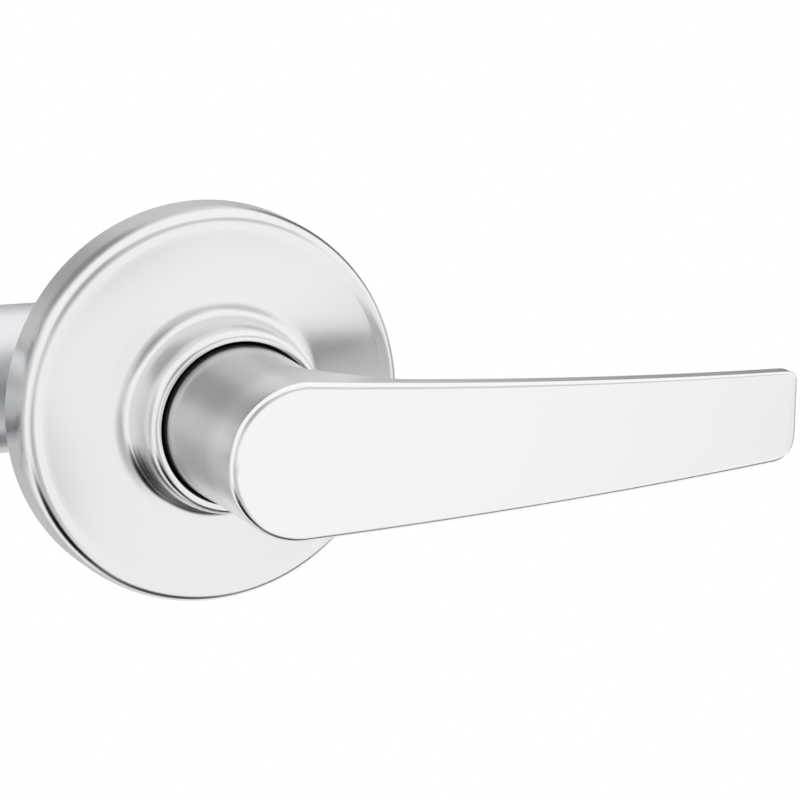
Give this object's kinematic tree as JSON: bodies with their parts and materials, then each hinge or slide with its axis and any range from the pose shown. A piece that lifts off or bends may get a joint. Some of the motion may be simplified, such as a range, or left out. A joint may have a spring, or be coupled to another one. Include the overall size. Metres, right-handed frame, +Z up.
{
  "type": "lever handle lockset",
  "caption": "Passage door lever set: round rose with raised collar and tapered paddle lever on each side, one square spindle, and a sprung tubular latch.",
  "frame": {"origin": "on the spindle's axis, at the centre of the door's cross bore, in the middle of the door's thickness", "axes": "+X towards the lever tips and away from the door's edge, -Y to the outside of the door, +Z up"},
  "size_m": [0.1595, 0.1412, 0.0658],
  "materials": {
    "satin_chrome": "satin chrome plate on cast zinc and pressed steel",
    "zinc_plate": "bright zinc plate",
    "spring_steel": "oiled spring steel",
    "cast_zinc": "plain cast zinc",
    "black_nylon": "moulded nylon"
  },
  "bodies": {
    "lockset": {"outside_rose": "satin_chrome", "outside_neck_bushing": "black_nylon", "outside_mounting_plate": "zinc_plate", "outside_spring_cage": "zinc_plate", "outside_return_spring": "spring_steel", "inside_rose": "satin_chrome", "inside_neck_bushing": "black_nylon", "inside_mounting_plate": "zinc_plate", "inside_spring_cage": "zinc_plate", "inside_return_spring": "spring_steel", "mounting_post_upper": "zinc_plate", "mounting_post_lower": "zinc_plate", "through_screw_upper": "zinc_plate", "through_screw_lower": "zinc_plate", "latch_faceplate": "satin_chrome", "latch_backplate": "zinc_plate", "faceplate_screw_upper": "satin_chrome", "faceplate_screw_lower": "satin_chrome", "latch_case": "zinc_plate", "latch_spring": "spring_steel", "latch_spring_seat": "zinc_plate"},
    "handle": {"spindle": "zinc_plate", "latch_hub": "cast_zinc", "outside_lever": "satin_chrome", "outside_lever_set_screw": "spring_steel", "outside_drive_sleeve": "cast_zinc", "outside_drive_cam": "cast_zinc", "outside_retaining_ring": "spring_steel", "inside_lever": "satin_chrome", "inside_lever_set_screw": "spring_steel", "inside_drive_sleeve": "cast_zinc", "inside_drive_cam": "cast_zinc", "inside_retaining_ring": "spring_steel"},
    "latch_slide": {"latch_bolt": "satin_chrome", "latch_tail": "zinc_plate"}
  },
  "joints": [
    {"name": "handle_turn", "type": "hinge", "parent": "lockset", "child": "handle", "pos_m": [0, 0, 0], "axis": [0, 1, 0], "range_deg": [0, 60], "stiffness_Nm_per_rad": 0.8, "springref_deg": -28.65, "deforming": ["outside_return_spring", "inside_return_spring"]},
    {"name": "bolt_slide", "type": "slide", "parent": "lockset", "child": "latch_slide", "axis": [1, 0, 0], "range_m": [0, 0.011], "stiffness_N_per_m": 200, "springref_m": -0.012, "deforming": ["latch_spring"]}
  ],
  "couplings": [
    {"joint": "bolt_slide", "follows": "handle_turn", "m_per_rad": 0.010504}
  ]
}
